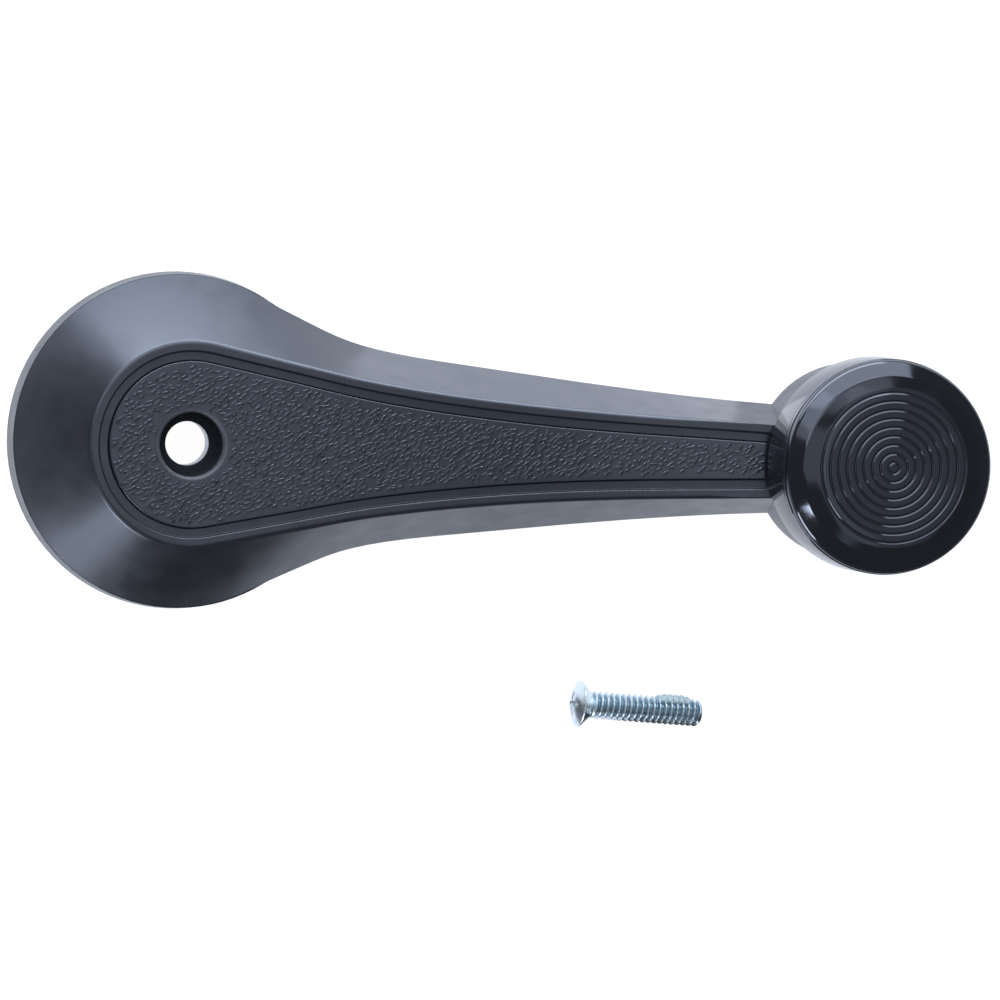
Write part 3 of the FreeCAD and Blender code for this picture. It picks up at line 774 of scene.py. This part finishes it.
PATCH_START = 14.2 * MM
PATCH_LENGTH = 6.0 * MM
PATCH_HALF_ANGLE = math.radians(40)
PATCH_RISE = 0.6 * MM
PATCH_ROWS = 64
PATCH_COLUMNS = 26
PATCH_END_POWER = 3
PATCH_SIDE_POWER = 2.6
PATCH_CROWN_POWER = 0.55
PATCH_SINK = 0.35
PATCH_LAP = 0.02 * MM
PATCH_INNER_SHARE = 0.97
LUMP_SHARE = 0.22
LUMP_SCALES = (7, 2.2)
LUMP_SLICE = 0.4


def patch_radius(along, across, drop, turn):
    """The patch's outer radius: a lumpy pad that sinks a little between the crests."""
    ends = max(0.0, 1 - abs(2 * along - 1) ** PATCH_END_POWER)
    sides = max(0.0, 1 - abs(across) ** PATCH_SIDE_POWER)
    place = Vector((along * LUMP_SCALES[0], across * LUMP_SCALES[1], LUMP_SLICE))
    lump = 1 - LUMP_SHARE + LUMP_SHARE * noise.noise(place)
    sunk = (THREAD_RADIUS - thread_radius(drop, turn)) * PATCH_SINK
    rise = PATCH_RISE * (ends * sides) ** PATCH_CROWN_POWER * lump
    return max(ROOT_RADIUS, THREAD_RADIUS + rise - sunk - PATCH_LAP)


def patch_faces():
    """The quads of the outer sheet, of the inner sheet and of the band between their rims."""
    rows, columns = PATCH_ROWS, PATCH_COLUMNS
    wide = columns + 1
    size = (rows + 1) * wide
    faces = []
    for i in range(rows):
        for j in range(columns):
            a = i * wide + j
            faces.append((a, a + 1, a + wide + 1, a + wide))
            faces.append((size + a, size + a + wide, size + a + wide + 1, size + a + 1))
    rim = list(range(wide)) + [i * wide + columns for i in range(1, rows + 1)]
    rim += [rows * wide + j for j in range(columns - 1, -1, -1)]
    rim += [i * wide for i in range(rows - 1, 0, -1)]
    for a, b in zip(rim, rim[1:] + rim[:1]):
        faces.append((a, b, size + b, size + a))
    return faces


def build_patch():
    """The sprayed nylon patch, lumpy over the thread's crests."""
    outer, inner = [], []
    for i in range(PATCH_ROWS + 1):
        along = i / PATCH_ROWS
        drop = PATCH_START + PATCH_LENGTH * along
        for j in range(PATCH_COLUMNS + 1):
            across = 2 * j / PATCH_COLUMNS - 1
            turn = math.pi / 2 + PATCH_HALF_ANGLE * across
            outer.append((turn, patch_radius(along, across, drop, turn), drop))
            inner.append((turn, ROOT_RADIUS * PATCH_INNER_SHARE, drop))
    matrix = screw_matrix()
    verts = [matrix @ Vector((r * math.cos(t), r * math.sin(t), -d)) for t, r, d in outer + inner]
    new_object("nylon_patch", verts, patch_faces(), "patch_nylon", "root", "screw_locking_patch")


# Materials

COOL = (0.75, 0.84, 1.0, 1)
SHAFT_AXIS = ((0, 0, 0), (0, 0, 1))
SHADED_BORE_EDGE = (5.5 * MM, 5.8 * MM)
MOUTH_EDGE = (5.85 * MM, 6.1 * MM)
METAL_SHADE = 0.72
NYLON_SHADE = 0.86
HEAD_FADE = 0.8  # share of the head's depth where its plate gives way to the thread's


class Finish:
    """A Principled material whose nodes are added by short calls."""

    def __init__(self, name, color, roughness, **sockets):
        self.material = bpy.data.materials.new(name)
        self.material.use_nodes = True
        self.tree = self.material.node_tree
        self.shader = self.tree.nodes["Principled BSDF"]
        self.shader.inputs["Base Color"].default_value = (*color, 1)
        self.shader.inputs["Roughness"].default_value = roughness
        for label, value in sockets.items():
            self.shader.inputs[label.replace("_", " ")].default_value = value
        self.place = self.tree.nodes.new("ShaderNodeTexCoord").outputs["Object"]
        self.normal = None

    def stretched(self, factors):
        """Object coordinates scaled by factors."""
        node = self.tree.nodes.new("ShaderNodeMapping")
        node.inputs["Scale"].default_value = factors
        self.tree.links.new(self.place, node.inputs["Vector"])
        return node.outputs["Vector"]

    def noise(self, scale, detail=3.0, place=None):
        """A cloudy value about 0.5 whose features are about 1/scale metres wide."""
        node = self.tree.nodes.new("ShaderNodeTexNoise")
        node.inputs["Scale"].default_value = scale
        node.inputs["Detail"].default_value = detail
        self.tree.links.new(place or self.place, node.inputs["Vector"])
        return node.outputs["Fac"]

    def ranged(self, value, low, high, start=0.3, end=0.7):
        """The value mapped from start..end to low..high."""
        node = self.tree.nodes.new("ShaderNodeMapRange")
        for label, number in (("From Min", start), ("From Max", end), ("To Min", low), ("To Max", high)):
            node.inputs[label].default_value = number
        self.tree.links.new(value, node.inputs["Value"])
        return node.outputs["Result"]

    def mixed(self, factor, first, second, kind="RGBA"):
        """From first, a colour, number or output, to second, as factor goes from 0 to 1."""
        node = self.tree.nodes.new("ShaderNodeMix")
        node.data_type = kind
        self.tree.links.new(factor, node.inputs["Factor"])
        for label, value in (("A", first), ("B", second)):
            if isinstance(value, bpy.types.NodeSocket):
                self.tree.links.new(value, node.inputs[label])
            else:
                node.inputs[label].default_value = (*value, 1) if kind == "RGBA" else value
        return node.outputs["Result"]

    def vector_math(self, operation, first, second=None):
        """A vector operation on an output and, where it takes one, a constant."""
        node = self.tree.nodes.new("ShaderNodeVectorMath")
        node.operation = operation
        self.tree.links.new(first, node.inputs[0])
        if second is not None:
            node.inputs[1].default_value = second
        return node.outputs["Vector" if operation in ("SUBTRACT", "CROSS_PRODUCT") else "Value"]

    def reach(self, point, axis):
        """Distance of the surface from the line through point along the unit vector axis."""
        apart = self.vector_math("SUBTRACT", self.place, point)
        return self.vector_math("LENGTH", self.vector_math("CROSS_PRODUCT", apart, axis))

    def feed(self, socket, output):
        """Link an output to one of the shader's sockets."""
        self.tree.links.new(output, self.shader.inputs[socket])

    def bump(self, height, distance):
        """Add a bump to those already there."""
        node = self.tree.nodes.new("ShaderNodeBump")
        node.inputs["Distance"].default_value = distance
        self.tree.links.new(height, node.inputs["Height"])
        if self.normal:
            self.tree.links.new(self.normal, node.inputs["Normal"])
        self.normal = node.outputs["Normal"]
        self.feed("Normal", self.normal)


def moulding_finish():
    """Satin black plastic, left rough inside the screw's counterbore, where painted shade also darkens
    it.
    """
    finish = Finish("black_moulding_finish", color=(0.012, 0.013, 0.017), roughness=0.33,
                    Specular_IOR_Level=1.0, Specular_Tint=COOL)
    rough_shaded_bore = finish.ranged(finish.reach(*SHAFT_AXIS), 1, 0, *SHADED_BORE_EDGE)
    tone = finish.mixed(finish.noise(scale=60), (0.011, 0.012, 0.016), (0.016, 0.017, 0.022))
    # Painted shade: the base colour goes near black inside the counterbore, where the recess is in
    # shadow.
    finish.feed("Base Color", finish.mixed(rough_shaded_bore, tone, (0.003, 0.003, 0.004)))
    gloss = finish.ranged(finish.noise(scale=220, detail=5), low=0.28, high=0.38)
    finish.feed("Roughness", finish.mixed(rough_shaded_bore, gloss, 0.85, "FLOAT"))
    finish.bump(finish.noise(scale=2600, detail=2), distance=0.006 * MM)
    flow = finish.stretched((0.25, 1.6, 1))
    finish.bump(finish.noise(scale=340, detail=2, place=flow), distance=0.012 * MM)
    return finish.material


def grain_finish():
    """Black plastic, pale round the mouth of the screw's hole, partly from wear and partly from a
    painted highlight.
    """
    finish = Finish("black_grain_finish", color=(0.012, 0.013, 0.017), roughness=0.3,
                    Specular_IOR_Level=1.0, Specular_Tint=COOL)
    tone = finish.mixed(finish.noise(scale=90), (0.010, 0.012, 0.016), (0.016, 0.018, 0.023))
    mouth = finish.ranged(finish.reach(*SHAFT_AXIS), 1, 0, *MOUTH_EDGE)
    # Partly wear, partly painted highlight: the mouth's rounding is made paler than the rest of the
    # panel.
    wear_and_highlight_mottle = finish.noise(scale=900, detail=4)
    pale_wear_and_highlight = finish.mixed(wear_and_highlight_mottle, (0.04, 0.042, 0.048), (0.085, 0.087, 0.095))
    finish.feed("Base Color", finish.mixed(mouth, tone, pale_wear_and_highlight))
    gloss = finish.ranged(finish.noise(scale=500, detail=4), low=0.22, high=0.32)
    finish.feed("Roughness", finish.mixed(mouth, gloss, 0.55, "FLOAT"))
    finish.bump(finish.noise(scale=3800, detail=2), distance=0.01 * MM)
    return finish.material


def knob_finish():
    """Polished black plastic with the faint waviness of a moulded skin."""
    finish = Finish("knob_black_finish", color=(0.006, 0.006, 0.008), roughness=0.09,
                    Specular_IOR_Level=1.0, Specular_Tint=COOL)
    tone = finish.mixed(finish.noise(scale=80), (0.005, 0.005, 0.007), (0.009, 0.009, 0.012))
    finish.feed("Base Color", tone)
    finish.feed("Roughness", finish.ranged(finish.noise(scale=260, detail=6), low=0.07, high=0.15))
    finish.bump(finish.noise(scale=480, detail=2), distance=0.004 * MM)
    return finish.material


def metal_finish(name, color, low, high, pits):
    """Bare metal with a fine mottle, its roughness from low to high."""
    finish = Finish(name, color, roughness=0.4, Metallic=1.0)
    darker = tuple(c * METAL_SHADE for c in color)
    finish.feed("Base Color", finish.mixed(finish.noise(scale=350, detail=5), darker, color))
    finish.feed("Roughness", finish.ranged(finish.noise(scale=900, detail=4), low, high))
    finish.bump(finish.noise(scale=1900, detail=4), distance=pits)
    return finish.material


def screw_finish():
    """Bright zinc, with painted shade that darkens the thread's roots to blue."""
    finish = Finish("zinc_plate_finish", color=(0.74, 0.84, 0.9), roughness=0.3, Metallic=1.0)
    matrix = screw_matrix()
    axis = (matrix.to_3x3() @ Vector((0, 0, 1))).normalized()
    crest = finish.ranged(finish.reach(matrix.translation, axis), 0, 1, ROOT_RADIUS, THREAD_RADIUS)
    apart = finish.vector_math("SUBTRACT", finish.place, matrix.translation)
    rise = finish.vector_math("DOT_PRODUCT", apart, axis)
    head = finish.ranged(rise, 0, 1, -HEAD_DEPTH, -HEAD_FADE * HEAD_DEPTH)
    mottle = finish.noise(scale=420, detail=4)
    plate = finish.mixed(mottle, (0.7, 0.81, 0.88), (0.88, 0.94, 0.97))
    # Painted shade: the thread's roots are darker and bluer than its crests, which keep the plate's
    # colour.
    thread_with_root_shade = finish.mixed(crest, (0.26, 0.4, 0.5), plate)
    finish.feed("Base Color", finish.mixed(head, thread_with_root_shade, plate))
    finish.feed("Roughness", finish.ranged(finish.noise(scale=900, detail=4), low=0.24, high=0.4))
    finish.bump(finish.noise(scale=1500, detail=3), distance=0.004 * MM)
    return finish.material


def nylon_finish(name, color):
    """Waxy nylon with a faint mottle."""
    finish = Finish(name, color, roughness=0.42, Subsurface_Weight=0.2, Subsurface_Scale=0.001)
    darker = tuple(c * NYLON_SHADE for c in color)
    finish.feed("Base Color", finish.mixed(finish.noise(scale=300), darker, color))
    finish.feed("Roughness", finish.ranged(finish.noise(scale=700), low=0.34, high=0.5))
    finish.bump(finish.noise(scale=1600, detail=3), distance=0.01 * MM)
    return finish.material


def apply_finishes():
    """Give every piece and every CAD node in view the material of its slot."""
    finishes = {
        "black_moulding": moulding_finish(),
        "black_grain": grain_finish(),
        "knob_black": knob_finish(),
        "cast_zinc": metal_finish("cast_zinc_finish", (0.62, 0.63, 0.66), 0.3, 0.5, 0.02 * MM),
        "steel": metal_finish("steel_finish", (0.55, 0.56, 0.58), 0.2, 0.36, 0.004 * MM),
        "zinc_plate": screw_finish(),
        "nylon": nylon_finish("nylon_finish", (0.82, 0.8, 0.74)),
        "patch_nylon": nylon_finish("patch_nylon_finish", (0.68, 0.89, 0.94)),
    }
    slots = {row["node"]: row["material_slot"] for row in frame["record"]["subparts"]}
    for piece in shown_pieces():
        slot = piece.get("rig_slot") or slots[piece["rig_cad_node"]]
        piece.data.materials.clear()
        piece.data.materials.append(finishes[slot])


# Camera, floor and light

CAMERA_AT = Vector((-135.10, 30.74, 814.31)) * MM
CAMERA_TARGET = Vector((56.98, -8.70, 0)) * MM
CAMERA_ROLL = -0.0386
CAMERA_NEAR = 0.05
FOCAL_PIXELS = 4864.84
IMAGE_PIXELS = 1000
SENSOR = 36.0

FLOOR_HALF_SIDE = 6.0
FLOOR_LEVEL = -0.00005
FLOOR_COLOR = (0.3, 0.3, 0.3, 1)
FLOOR_GLOW = 0.95
FLOOR_TINT = (0.84, 0.89, 1.0, 1)
WHITE = (1, 1, 1, 1)
ROOM_STRENGTH = 0.14
LAMP_COLOR = (0.88, 0.92, 1.0)

# name, place, point that it faces, width, height, watts
LAMPS = (
    ("overhead", (0.27, -0.05, 1.35), (0.27, -0.05, 0), 0.44, 1.6, 1.25),
    ("overhead_far", (0.8, -0.05, 1.35), (0.8, -0.05, 0), 0.62, 1.6, 0.83),
    ("back_softbox", (-0.03, 0.62, 0.29), (0.03, 0, 0.02), 1.0, 0.56, 4.8),
    ("back_strip", (0.02, 0.13, 0.03), (0.02, 0, 0.01), 0.24, 0.058, 0.21),
    ("table_bounce", (0.066, 0.0235, 0.0035), (0.066, -0.0024, 0.1), 0.066, 0.023, 0.0035),
    ("rear_fill", (-0.15, 0.6, 0.95), (0.1, 0, 0.02), 1.2, 0.55, 1.9),
    ("left_fill", (-0.24, 0.05, 1.25), (0.1, 0, 0.02), 0.5, 1.0, 0.9),
    ("window", (-0.55, 0.55, 0.92), (0, 0, 0), 0.7, 0.5, 1.2),
    ("corner_softbox", (-0.34, -0.5, 0.13), (0, 0, 0.01), 0.26, 0.26, 1.9),
    ("small_lamp", (-0.46, -0.51, 0.66), (0.1, 0, 0.02), 0.12, 0.06, 0.35),
)

# left, right, near and far edge of each card
CARDS = (
    (-0.12, 0.065, -0.04, -0.45),
    (0.065, 0.0765, -0.055, -0.45),
    (0.0765, 0.36, -0.046, -0.45),
    (-0.7, -0.075, 0.2, -0.16),
)
CARD_LEVEL = 0.1 * MM
CARD_COLOR = (0.02, 0.02, 0.025, 1)


def linked(name, data):
    """A new object in the scene."""
    thing = bpy.data.objects.new(name, data)
    bpy.context.scene.collection.objects.link(thing)
    return thing


def add_camera():
    """The photograph's camera, found from the round outlines and the screw's place."""
    data = bpy.data.cameras.new("camera")
    camera = linked("camera", data)
    back = (CAMERA_AT - CAMERA_TARGET).normalized()
    upward = Vector((math.sin(CAMERA_ROLL), math.cos(CAMERA_ROLL), 0))
    right = upward.cross(back).normalized()
    turn = Matrix((right, back.cross(right), back)).transposed().to_4x4()
    turn.translation = CAMERA_AT
    camera.matrix_world = turn
    data.sensor_width = SENSOR
    data.lens = FOCAL_PIXELS * SENSOR / IMAGE_PIXELS
    data.clip_start = CAMERA_NEAR
    bpy.context.scene.camera = camera


def add_lamp(name, place, aim, width, height, watts):
    """A rectangular softbox that faces aim."""
    data = bpy.data.lights.new(name, "AREA")
    data.shape = "RECTANGLE"
    data.size = width
    data.size_y = height
    data.energy = watts
    data.color = LAMP_COLOR
    lamp = linked(name, data)
    lamp.location = place
    lamp.rotation_euler = (Vector(aim) - Vector(place)).to_track_quat("-Z", "Y").to_euler()
    lamp.visible_camera = False


def add_world():
    """A dim plain room."""
    world = bpy.data.worlds.new("room")
    bpy.context.scene.world = world
    world.use_nodes = True
    room = world.node_tree.nodes["Background"]
    room.inputs["Color"].default_value = (*LAMP_COLOR, 1)
    room.inputs["Strength"].default_value = ROOM_STRENGTH


def floor_finish():
    """A dull floor that glows white to the camera and pale blue in reflections."""
    material = bpy.data.materials.new("floor_finish")
    material.use_nodes = True
    nodes, links = material.node_tree.nodes, material.node_tree.links
    nodes.remove(nodes["Principled BSDF"])
    diffuse = nodes.new("ShaderNodeBsdfDiffuse")
    diffuse.inputs["Color"].default_value = FLOOR_COLOR
    glow = nodes.new("ShaderNodeEmission")
    path = nodes.new("ShaderNodeLightPath")
    tint = nodes.new("ShaderNodeMix")
    tint.data_type = "RGBA"
    tint.inputs["A"].default_value = FLOOR_TINT
    tint.inputs["B"].default_value = WHITE
    links.new(path.outputs["Is Camera Ray"], tint.inputs["Factor"])
    links.new(tint.outputs["Result"], glow.inputs["Color"])

    def calculated(operation, first):
        node = nodes.new("ShaderNodeMath")
        node.operation = operation
        links.new(first, node.inputs[0])
        return node

    seen = path.outputs["Is Camera Ray"]
    for kind in ("Is Glossy Ray", "Is Transmission Ray"):
        either = calculated("MAXIMUM", seen)
        links.new(path.outputs[kind], either.inputs[1])
        seen = either.outputs["Value"]
    scaled = calculated("MULTIPLY", seen)
    scaled.inputs[1].default_value = FLOOR_GLOW
    links.new(scaled.outputs["Value"], glow.inputs["Strength"])
    both = nodes.new("ShaderNodeAddShader")
    links.new(diffuse.outputs["BSDF"], both.inputs[0])
    links.new(glow.outputs["Emission"], both.inputs[1])
    links.new(both.outputs["Shader"], nodes["Material Output"].inputs["Surface"])
    return material


def add_floor():
    """A wide pale floor that keeps the object's shadow."""
    mesh = bpy.data.meshes.new("floor")
    corners = ((-1, -1), (1, -1), (1, 1), (-1, 1))
    verts = [(x * FLOOR_HALF_SIDE, y * FLOOR_HALF_SIDE, FLOOR_LEVEL) for x, y in corners]
    mesh.from_pydata(verts, [], [(0, 1, 2, 3)])
    floor = linked("floor", mesh)
    mesh.materials.append(floor_finish())


def add_cards():
    """Dark cards on the table, out of the picture, that only reflections show."""
    shape = Loops()
    for left, right, near, far in CARDS:
        corners = ((left, far), (right, far), (right, near), (left, near))
        shape.faces.append(shape.add((x, y, CARD_LEVEL) for x, y in corners))
    mesh = bpy.data.meshes.new("dark_cards")
    mesh.from_pydata(shape.verts, [], shape.faces)
    cards = linked("dark_cards", mesh)
    cards.visible_camera = False
    cards.visible_diffuse = False
    cards.visible_shadow = False
    material = bpy.data.materials.new("card_finish")
    material.use_nodes = True
    material.node_tree.nodes["Principled BSDF"].inputs["Base Color"].default_value = CARD_COLOR
    mesh.materials.append(material)


softened("handle_shell", "root", "black_moulding")
build_inlay()
build_skirt()
build_crown()
build_screw()
build_patch()
apply_finishes()
add_camera()
add_world()
add_floor()
for lamp_row in LAMPS:
    add_lamp(*lamp_row)
add_cards()
bpy.context.scene.view_settings.view_transform = "Standard"
